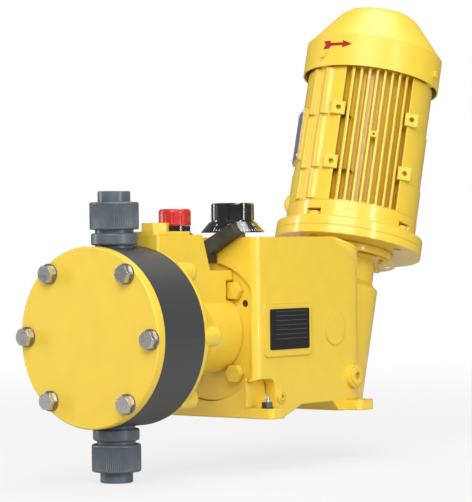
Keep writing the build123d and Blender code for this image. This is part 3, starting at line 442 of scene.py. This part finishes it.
def motorPoint(angle, along, radius):
    spin = math.radians(angle)
    return motorMatrix() @ Vector((radius * math.cos(spin), -radius * math.sin(spin), along))


def facePoint(angle, outward, lateral):
    # outward and sideways on the side of the motor that looks towards this angle
    spin = math.radians(-angle)
    x = outward * math.cos(spin) - lateral * math.sin(spin)
    y = outward * math.sin(spin) + lateral * math.cos(spin)
    return (x, y)


def motorPiece(name, bm, nodeNames=()):
    bmesh.ops.transform(bm, matrix=motorMatrix(), verts=bm.verts)
    bmesh.ops.recalc_face_normals(bm, faces=bm.faces)
    piece = meshObject(name, bm, finish["castPaint"], "pump_body")
    smoothByAngle(piece)
    if nodeNames:
        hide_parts(*nodeNames)
    return piece


# the arrow on the cowl, from its notched tail to its tip
arrowSet = {"low": 0.208, "high": 0.2135, "radius": 0.0748, "lift": 0.00025,
            # angle of the outer corners, angle of the middle, half height
            "rows": ((102.5, 99.8, 0.0046), (99.0, 97.5, 0.0046), (95.5, 95.5, 0.0046), (94.0, 94.0, 0.0018),
                     (90.0, 90.0, 0.0016), (86.0, 86.0, 0.0016), (82.5, 82.5, 0.0016), (82.5, 82.5, 0.0042),
                     (78.0, 78.0, 0.0021), (74.0, 74.0, 0.00005))}


def cowlArrow():
    bm = bmesh.new()
    level, radius = (arrowSet["low"] + arrowSet["high"]) / 2, arrowSet["radius"] + arrowSet["lift"]
    count = len(arrowSet["rows"]) - 1
    grid = bmesh.ops.create_grid(bm, x_segments=count, y_segments=2, size=1)["verts"]
    for vert in grid:
        outer, inner, half = arrowSet["rows"][round((vert.co.x + 1) / 2 * count)]
        side = round(vert.co.y)
        vert.co = motorPoint(outer if side else inner, level + side * half, radius)
    bmesh.ops.recalc_face_normals(bm, faces=bm.faces)
    return meshObject("cowlArrow", bm, finish["arrowPaint"], "pump_body")


# The finned frame: three steps, two fin banks, bars, foot pads, the seats of plate and terminal box, and a
# round boss. A reach is measured from the motor axis.
shellSet = {"steps": (0.038, 0.0727, 0.1327, 0.188), "radii": (0.0706, 0.0696, 0.0686), "root": 0.058,
            "footAngle": 45.0, "boxAngle": 225.0, "pocket": 0.0366, "arcSteps": 28,
            "finPitch": 0.00845, "fins": 8, "finThickness": 0.0028, "finRound": 0.0004,
            "grooveEnd": 0.0010, "collar": 0.0002,
            "barAngles": (96.0, 112.0), "barRadius": 0.0078, "barSteps": 28, "barCentre": 0.0645,
            "barStep": 0.0008, "barGaps": (0.0018, 0.0014),
            "padSide": 0.0145, "padOffset": 0.0404, "padReach": (0.045, 0.0615), "padHeights": (0.080, 0.140),
            "padHole": 0.0027, "holeDepth": 0.009, "holeSteps": 16,
            "centrePad": 0.0066, "centreInner": 0.055, "centreRise": 0.0006, "centreHeight": 0.115,
            "centreHole": 0.0012,
            "plateAngle": 135.0, "plateReach": (0.060, 0.0705), "plateHalf": 0.0185,
            "plateHeights": (0.0855, 0.1445), "seatReach": (0.050, 0.0735), "seatHalf": 0.044,
            "seatHeights": (0.066, 0.160), "bossAngle": 141.0, "bossRadius": 0.0088, "bossStretch": 1.25,
            "bossReach": 0.0665, "bossHeight": 0.041, "bossSegments": (20, 12)}


def finOutline(angle, radius):
    pocket, root, half = shellSet["pocket"], shellSet["root"], shellSet["finThickness"] / 2
    rounded = radius - shellSet["finRound"]
    rim = ((-1, root), (-1, rounded), (-0.5, radius), (0.5, radius), (1, rounded), (1, root))

    def reach(size, lateral):
        return (math.sqrt(size * size - lateral * lateral), lateral)

    points = [reach(radius, -pocket), reach(root, -pocket)]
    for index in range(shellSet["fins"]):
        middle = shellSet["finPitch"] * (index - (shellSet["fins"] - 1) / 2)
        points += [reach(size, middle + half * share) for share, size in rim]
    points += [reach(root, pocket), reach(radius, pocket)]
    return [facePoint(angle, *point) for point in points]


def shellOutline(radius):
    # both fin banks, each followed by the plain arc that leads to the other
    spread = math.degrees(math.asin(shellSet["pocket"] / radius))
    outline = []
    for angle in (shellSet["footAngle"], shellSet["boxAngle"]):
        outline += finOutline(angle, radius)
        for index in range(1, shellSet["arcSteps"]):
            spin = math.radians(-angle + spread + (180 - 2 * spread) * index / shellSet["arcSteps"])
            outline.append((radius * math.cos(spin), radius * math.sin(spin)))
    return outline


def pad(bm, angle, lateral, level, side, reach, hole):
    # square pad on the motor, open inside it, with a blind hole in its outer face
    inner, outer = reach
    deep = shellSet["holeDepth"]
    place = Matrix.Translation(((inner + outer) / 2, lateral, level))
    size = Matrix.Diagonal((outer - inner, side, side, 1))
    block = bmesh.ops.create_cube(bm, size=1, matrix=place @ size)["verts"]
    faces = {face for vert in block for face in vert.link_faces}
    faces = sorted(faces, key=lambda face: face.calc_center_median().x)
    rings = list(faces[-1].edges)
    bmesh.ops.delete(bm, geom=[faces[0], faces[-1]], context="FACES_ONLY")
    place = Matrix.Translation((outer - deep, lateral, level)) @ Matrix.Rotation(math.pi / 2, 4, "Y")
    steps = shellSet["holeSteps"]
    end = bmesh.ops.create_circle(bm, cap_ends=True, segments=steps, radius=hole, matrix=place)
    edges = list({edge for vert in end["verts"] for edge in vert.link_edges})
    wall = bmesh.ops.extrude_edge_only(bm, edges=edges)["geom"]
    rim = only(bmesh.types.BMVert, wall)
    bmesh.ops.translate(bm, vec=(deep, 0, 0), verts=rim)
    rings += [edge for edge in only(bmesh.types.BMEdge, wall) if set(edge.verts) <= set(rim)]
    bmesh.ops.triangle_fill(bm, use_beauty=True, edges=rings)
    turn = Matrix.Rotation(math.radians(-angle), 4, "Z")
    bmesh.ops.transform(bm, matrix=turn, verts=block + end["verts"] + rim)


def seat(bm, angle, reach, half, heights):
    corners = ((reach[0], -half), (reach[1], -half), (reach[1], half), (reach[0], half))
    pushOut(bm, [facePoint(angle, *corner) for corner in corners], *heights)


def motorShell():
    bm = bmesh.new()
    steps, radii, foot = shellSet["steps"], shellSet["radii"], shellSet["footAngle"]
    groove = steps[0] + shellSet["grooveEnd"]
    pushOut(bm, circle(radii[0] + shellSet["collar"]), steps[0], groove)
    for index, radius in enumerate(radii):
        pushOut(bm, shellOutline(radius), steps[index] if index else groove, steps[index + 1])
        for angle in shellSet["barAngles"]:
            centre = facePoint(angle, shellSet["barCentre"] + shellSet["barStep"] * (1 - index), 0)
            pushOut(bm, circle(shellSet["barRadius"], shellSet["barSteps"], centre),
                    steps[index] + shellSet["barGaps"][0], steps[index + 1] - shellSet["barGaps"][1])
    for level in shellSet["padHeights"]:
        for side in (-1, 1):
            pad(bm, foot, side * shellSet["padOffset"], level, shellSet["padSide"], shellSet["padReach"],
                shellSet["padHole"])
    pad(bm, foot, 0, shellSet["centreHeight"], shellSet["centrePad"],
        (shellSet["centreInner"], radii[1] + shellSet["centreRise"]), shellSet["centreHole"])
    seat(bm, shellSet["plateAngle"], shellSet["plateReach"], shellSet["plateHalf"], shellSet["plateHeights"])
    seat(bm, shellSet["boxAngle"], shellSet["seatReach"], shellSet["seatHalf"], shellSet["seatHeights"])
    boss = ball(bm, shellSet["bossRadius"], shellSet["bossSegments"])
    bmesh.ops.scale(bm, vec=(1, 1, shellSet["bossStretch"]), verts=boss)
    x, y = facePoint(shellSet["bossAngle"], shellSet["bossReach"], 0)
    bmesh.ops.translate(bm, vec=(x, y, shellSet["bossHeight"]), verts=boss)
    return motorPiece("motorShell", bm, ("motor_frame",))


rivetSet = {"reach": 0.0715, "across": 0.0145, "heights": (0.0912, 0.1408), "radius": 0.0016,
            "segments": (14, 8)}


def plateRivets():
    bm = bmesh.new()
    for level in rivetSet["heights"]:
        for side in (-1, 1):
            x, y = facePoint(shellSet["plateAngle"], rivetSet["reach"], side * rivetSet["across"])
            rivet = ball(bm, rivetSet["radius"], rivetSet["segments"])
            bmesh.ops.translate(bm, vec=(x, y, level), verts=rivet)
    bmesh.ops.transform(bm, matrix=motorMatrix(), verts=bm.verts)
    for face in bm.faces:
        face.smooth = True
    return meshObject("plateRivets", bm, finish["stainless"], "pump_body")


# the end shield's ring, notched round the four flange bolts, with a thin lip at its foot
ringSet = {"low": 0.0195, "shelf": 0.0285, "high": 0.038, "radius": 0.0708, "steps": 240, "notch": 0.0078,
           "notchDepth": 0.6, "circle": 0.065, "collar": 0.0001, "lip": 0.002, "lipHeight": 0.0012}


def shieldRing():
    bm = bmesh.new()
    outline = []
    low, plain, notch = ringSet["low"], ringSet["radius"], ringSet["notch"]
    for index in range(ringSet["steps"]):
        spin = 2 * math.pi * index / ringSet["steps"]
        off = abs((math.degrees(spin) + 45) % 90 - 45)  # angle from the nearest bolt
        radius, across = plain, math.radians(off) * plain
        if across < notch:
            radius = ringSet["circle"] - ringSet["notchDepth"] * math.sqrt(notch ** 2 - across ** 2)
        outline.append((radius * math.cos(spin), radius * math.sin(spin)))
    pushOut(bm, outline, low, ringSet["shelf"])
    pushOut(bm, circle(plain + ringSet["collar"]), ringSet["shelf"], ringSet["high"])
    pushOut(bm, circle(plain + ringSet["lip"]), low, low + ringSet["lipHeight"])
    return motorPiece("shieldRing", bm)


headSet = {"flats": 0.013, "height": 0.0065, "chamfer": 0.0012, "crown": 0.86}


def flangeHeads():
    bm = bmesh.new()
    for centre in circle(ringSet["circle"], 4):
        base = flatFace(bm, hexagon(headSet["flats"], centre), ringSet["low"])
        top = raiseFace(bm, base, headSet["height"] - headSet["chamfer"], True)
        crown = raiseFace(bm, top, headSet["chamfer"])
        bmesh.ops.scale(bm, vec=(headSet["crown"], headSet["crown"], 1), verts=crown.verts,
                        space=Matrix.Translation((-centre[0], -centre[1], 0)))
    return motorPiece("flangeHeads", bm, ("flange_nuts",))


# the gearbox's top behind the knob, sloped as the motor is; the solids' steeper slope lies below it
shoulderSet = {"start": 0.0428, "overlap": 0.0008, "rear": 0.098, "top": 0.181, "halfWidth": 0.06212,
               "corner": 0.024, "cornerSteps": 8, "skirt": 0.004, "lift": 0.00012, "slope": 14.6,
               "oldSlope": 36.0, "bevel": 0.0022, "bevelSegments": 4}


def shoulder():
    bm = bmesh.new()
    half, corner, steps = (shoulderSet[key] for key in ("halfWidth", "corner", "cornerSteps"))
    front = shoulderSet["start"] - shoulderSet["overlap"]
    rear = shoulderSet["rear"] + shoulderSet["lift"] - corner
    plan = [(-half, front), (half, front)]
    for side, turned in ((half - corner, 0), (corner - half, 90)):
        plan += quarterArc((side, rear), corner, turned, steps)
    new, old = (math.tan(math.radians(shoulderSet[key])) for key in ("slope", "oldSlope"))
    top, low = [], []
    for x, y in plan:
        run = max(0, y - shoulderSet["start"])
        top.append(bm.verts.new((x, y, shoulderSet["top"] + shoulderSet["lift"] - new * run)))
        low.append(bm.verts.new((x, y, shoulderSet["top"] - shoulderSet["skirt"] - old * run)))
    # the faces are made by hand: after an operator the bevel comes out in another shape
    for index in range(len(plan)):
        bm.faces.new((low[index - 1], low[index], top[index], top[index - 1]))
    bm.faces.new(top)
    bm.faces.new(low[::-1])
    rims = [edge for edge in bm.edges if set(edge.verts) <= set(top)
            and max(vert.co.y for vert in edge.verts) > shoulderSet["start"]]
    bmesh.ops.bevel(bm, geom=rims, offset=shoulderSet["bevel"], segments=shoulderSet["bevelSegments"],
                    profile=0.5, affect="EDGES", material=-1)
    bmesh.ops.recalc_face_normals(bm, faces=bm.faces)
    for face in bm.faces:
        face.smooth = True
    return meshObject("shoulder", bm, finish["blendPaint"], "pump_body")


# the motor's hub and its bolts, which take the place of the solids' wider one; levels are below the hub face
hubSet = {"cut": -0.0119, "merge": 0.000001, "radius": 0.0495, "thick": 0.0095, "round": 0.0030,
          "neck": 0.0322, "neckDepth": 0.0030, "fillet": 0.0028, "edge": 0.0008, "bore": 0.020, "steps": 96,
          "boltCircle": 0.0425, "bolts": 6, "firstBolt": 45.0, "flats": 0.010, "headHeight": 0.0045,
          "washer": 0.0066, "washerThick": 0.0012, "washerSteps": 28}


def gearCase():
    # the gear housing without its hub
    bm = bmesh.new()
    bm.from_mesh(nodes["gear_housing"].data)
    bmesh.ops.transform(bm, matrix=nodes["gear_housing"].matrix_world, verts=bm.verts)
    bmesh.ops.remove_doubles(bm, verts=bm.verts, dist=hubSet["merge"])
    axis = motorMatrix().to_3x3() @ Vector((0, 0, 1))
    bmesh.ops.bisect_plane(bm, geom=bm.verts[:] + bm.edges[:] + bm.faces[:], clear_outer=True,
                           plane_co=motorPoint(0, hubSet["cut"], 0), plane_no=axis)
    piece = meshObject("gearCase", bm, finish["castPaint"], "pump_body")
    smoothByAngle(piece)
    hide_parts("gear_housing")
    return piece


def motorHub():
    bm = bmesh.new()
    keys = ("radius", "thick", "round", "neck", "fillet", "edge")
    radius, low, rounding, neck, fillet, edge = (hubSet[key] for key in keys)
    profile = [(neck, hubSet["cut"] - hubSet["neckDepth"])]
    profile += quarterArc((neck + fillet, -low - fillet), fillet, 90)[::-1]
    profile += quarterArc((radius - rounding, -low + rounding), rounding, -90)
    profile += [(radius, -edge), (radius - edge, 0), (hubSet["bore"], 0)]
    turnProfile(bm, profile, (0, 0), hubSet["steps"])
    under = -low - hubSet["washerThick"]
    for index in range(hubSet["bolts"]):
        spin = math.radians(-hubSet["firstBolt"] + 360 / hubSet["bolts"] * index)
        centre = (hubSet["boltCircle"] * math.cos(spin), hubSet["boltCircle"] * math.sin(spin))
        pushOut(bm, circle(hubSet["washer"], hubSet["washerSteps"], centre), under, -low)
        pushOut(bm, hexagon(hubSet["flats"], centre), under - hubSet["headHeight"], under)
    return motorPiece("motorHub", bm, ("hub_bolts",))


# plates that close the inner ends of the pockets over the front feet
patchSet = {"x": (0.0470, 0.0492), "y": (-0.0935, -0.0600), "z": (0.0100, 0.0405)}


def pocketBacks():
    bm = bmesh.new()
    spans = [patchSet[key] for key in ("x", "y", "z")]
    middle, size = [sum(span) / 2 for span in spans], [span[1] - span[0] for span in spans]
    for side in (1, -1):
        place = Matrix.Translation((side * middle[0], *middle[1:])) @ Matrix.Diagonal((*size, 1))
        bmesh.ops.create_cube(bm, size=1, matrix=place)
    return meshObject("pocketBacks", bm, finish["castPaint"], "pump_body")


# Ribbed rings: the nuts keep the solid's height, and the grip's low and high are below the cap's top.
ribSet = {"shape": (0, 0, 0.5, 1, 1, 0.5), "ease": 0.0005, "cornerSteps": 5}
nutSet = {"ribs": 72, "depth": 0.0009, "band": 0.0022, "shoulder": 0.0016, "inner": 0.0150}
gripSet = {"ribs": 22, "depth": 0.0006, "band": 0.0016, "shoulder": 0.0010, "inner": 0.0145, "lift": 0.0001,
           "low": -0.0162, "high": -0.0022}


def ribbedRing(centre, radius, low, high, sizes):
    # ring with ribs between two plain, rounded bands
    corner, start = sizes["shoulder"], sizes["band"] + ribSet["ease"]
    half = quarterArc((radius - corner, corner), corner, -90, ribSet["cornerSteps"])
    half += [(radius, sizes["band"]), (radius, start)]
    profile = [(sizes["inner"], low)] + [(size, low + rise) for size, rise in half]
    profile += [(size, high - rise) for size, rise in reversed(half)] + [(sizes["inner"], high)]
    bm = bmesh.new()
    steps = sizes["ribs"] * len(ribSet["shape"])
    turnProfile(bm, profile, centre, steps, closed=True)
    for vert in bm.verts:
        if min(vert.co.z - low, high - vert.co.z) > (sizes["band"] + start) / 2:
            outward = vert.co.xy - Vector(centre)
            step = round(math.atan2(outward.y, outward.x) / (2 * math.pi) * steps)
            vert.co.xy -= outward.normalized() * sizes["depth"] * ribSet["shape"][step % len(ribSet["shape"])]
    bmesh.ops.recalc_face_normals(bm, faces=bm.faces)
    return bm


def unionNut(name, node, body):
    # ribbed nut with the node's own height, radius and place
    low, high = nodeBox(node)
    centre = ((low[0] + high[0]) / 2, (low[1] + high[1]) / 2)
    bm = ribbedRing(centre, (high[0] - low[0]) / 2, low[2], high[2], nutSet)
    piece = meshObject(name, bm, finish["unionPlastic"], body)
    smoothByAngle(piece)
    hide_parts(node)
    return piece


def capGrip():
    # ribbed sleeve round the filler cap
    low, high = nodeBox("fill_cap")
    centre = ((low[0] + high[0]) / 2, (low[1] + high[1]) / 2)
    bm = ribbedRing(centre, (high[0] - low[0]) / 2 + gripSet["lift"], high[2] + gripSet["low"],
                    high[2] + gripSet["high"], gripSet)
    piece = meshObject("capGrip", bm, finish["redPlastic"], "fill_cap_body")
    smoothByAngle(piece)
    return piece


# painted shade: a flat dark disc on the flange's front where the drip hole is, standing in for the shade
# inside the hole
dripShadeSet = {"place": (0.0447, -0.0875, 0.1145), "radius": 0.00345, "segments": 24}


def dripHoleShade():
    bm = bmesh.new()
    bmesh.ops.create_circle(bm, cap_ends=True, segments=dripShadeSet["segments"], radius=dripShadeSet["radius"])
    turn = Matrix.Translation(dripShadeSet["place"]) @ Matrix.Rotation(math.radians(90), 4, "X")
    bmesh.ops.transform(bm, matrix=turn, verts=bm.verts)
    return meshObject("dripHoleShade", bm, finish["shadePaint"], "pump_body")


knobTicks()
knobNumbers()
pocketBacks()
plateRivets()
unionNut("dischargeNut", "discharge_union_nut", "discharge_nut_body")
unionNut("suctionNut", "suction_union_nut", "suction_nut_body")
capGrip()
dripHoleShade()
cowlArrow()
motorShell()
shieldRing()
flangeHeads()
shoulder()
gearCase()
motorHub()
print("pieces done")

# pale floor: for the camera a share of it glows, from the share given here near the object to all of it far
floorSet = {"height": -0.0545, "size": 60.0, "color": (0.55, 0.55, 0.55), "rough": 0.9, "specular": 0.1,
            "glow": 0.76, "near": 0.4, "far": 2.2}


def makeFloor():
    bm = bmesh.new()
    bmesh.ops.create_grid(bm, x_segments=1, y_segments=1, size=floorSet["size"])
    mesh = bpy.data.meshes.new("floor")
    bm.to_mesh(mesh)
    bm.free()
    floor = bpy.data.objects.new("floor", mesh)
    floor.location = (0, 0, floorSet["height"])
    bpy.context.scene.collection.objects.link(floor)
    mat = makeMaterial("floorWhite", floorSet["color"], floorSet["rough"], specular=floorSet["specular"])
    glow = addNode(mat, "ShaderNodeEmission", Strength=1.0)
    reach = addNode(mat, "ShaderNodeVectorMath", operation="LENGTH")
    link(mat, coordOf(mat), reach.inputs[0])
    seen = addNode(mat, "ShaderNodeMath", operation="MULTIPLY")
    fade = spreadTo(mat, reach.outputs["Value"], (floorSet["near"], floorSet["far"]), (floorSet["glow"], 1),
                    seen.inputs[0])
    fade.interpolation_type = "SMOOTHSTEP"
    path = addNode(mat, "ShaderNodeLightPath")
    link(mat, path.outputs["Is Camera Ray"], seen.inputs[1])
    blend = addNode(mat, "ShaderNodeMixShader")
    link(mat, seen.outputs[0], blend.inputs[0])
    link(mat, shaderOf(mat).outputs[0], blend.inputs[1])
    link(mat, glow.outputs[0], blend.inputs[2])
    link(mat, blend.outputs[0], mat.node_tree.nodes["Material Output"].inputs["Surface"])
    mesh.materials.append(mat)


cameraSet = {"place": (1.50252, -1.96526, 0.17370), "lens": 170.73, "sensor": 36, "clipEnd": 50,
             "right": (0.78755889, 0.61615909, -0.00994817), "up": (0.00611432, 0.00832943, 0.99994662),
             "forward": (-0.61620906, 0.78757768, -0.00279252)}


def makeCamera():
    data = bpy.data.cameras.new("camera")
    data.lens = cameraSet["lens"]
    data.sensor_width = cameraSet["sensor"]
    data.sensor_fit = "AUTO"
    data.clip_end = cameraSet["clipEnd"]
    camera = bpy.data.objects.new("camera", data)
    right, upward, forward = (Vector(cameraSet[key]) for key in ("right", "up", "forward"))
    turn = Matrix((right, upward, -forward)).transposed().to_4x4()
    camera.matrix_world = Matrix.Translation(cameraSet["place"]) @ turn
    bpy.context.scene.collection.objects.link(camera)
    bpy.context.scene.camera = camera


# white surroundings: strengths for the light on the object, for its reflections and for the camera
worldSet = {"light": 0.30, "mirrored": 0.18, "seen": 1.0}


def makeWorld():
    world = bpy.data.worlds.new("studio")
    bpy.context.scene.world = world
    world.use_nodes = True
    tree = world.node_tree

    path = tree.nodes.new("ShaderNodeLightPath")

    def background(strength, node=None):
        node = node or tree.nodes.new("ShaderNodeBackground")
        node.inputs["Color"].default_value = (1, 1, 1, 1)
        node.inputs["Strength"].default_value = strength
        return node.outputs[0]

    def choose(ray, first, second):
        mix = tree.nodes.new("ShaderNodeMixShader")
        for socket, output in zip(mix.inputs, (path.outputs[ray], first, second)):
            tree.links.new(output, socket)
        return mix.outputs[0]

    light = background(worldSet["light"], tree.nodes["Background"])
    lit = choose("Is Glossy Ray", light, background(worldSet["mirrored"]))
    both = choose("Is Camera Ray", lit, background(worldSet["seen"]))
    tree.links.new(both, tree.nodes["World Output"].inputs["Surface"])


# area lamps: place, the point they look at, size, and power in watts
lightSet = {"keyLight": ((1.25, -2.55, 2.15), (0, 0, 0.1), (2.6, 2.2), 106),
            "leftStrip": ((-1.7, -0.9, 0.35), (0, -0.1, 0.12), (0.18, 1.6), 16),
            "rightStrip": ((2.0, -0.35, 0.5), (0.05, 0.05, 0.15), (0.16, 1.7), 20),
            "topLight": ((0.1, 0.5, 1.8), (0, 0.1, 0.2), (1.2, 0.8), 16)}


def areaLight(name, place, target, size, power):
    lamp = bpy.data.lights.new(name, "AREA")
    lamp.shape = "RECTANGLE"
    lamp.size, lamp.size_y = size
    lamp.energy = power
    obj = bpy.data.objects.new(name, lamp)
    obj.location = place
    obj.rotation_euler = (Vector(target) - Vector(place)).to_track_quat("-Z", "Y").to_euler()
    bpy.context.scene.collection.objects.link(obj)


makeCamera()
makeFloor()
makeWorld()
for lightName, lightValues in lightSet.items():
    areaLight(lightName, *lightValues)
bpy.context.scene.view_settings.view_transform = "Standard"
print("stage done")
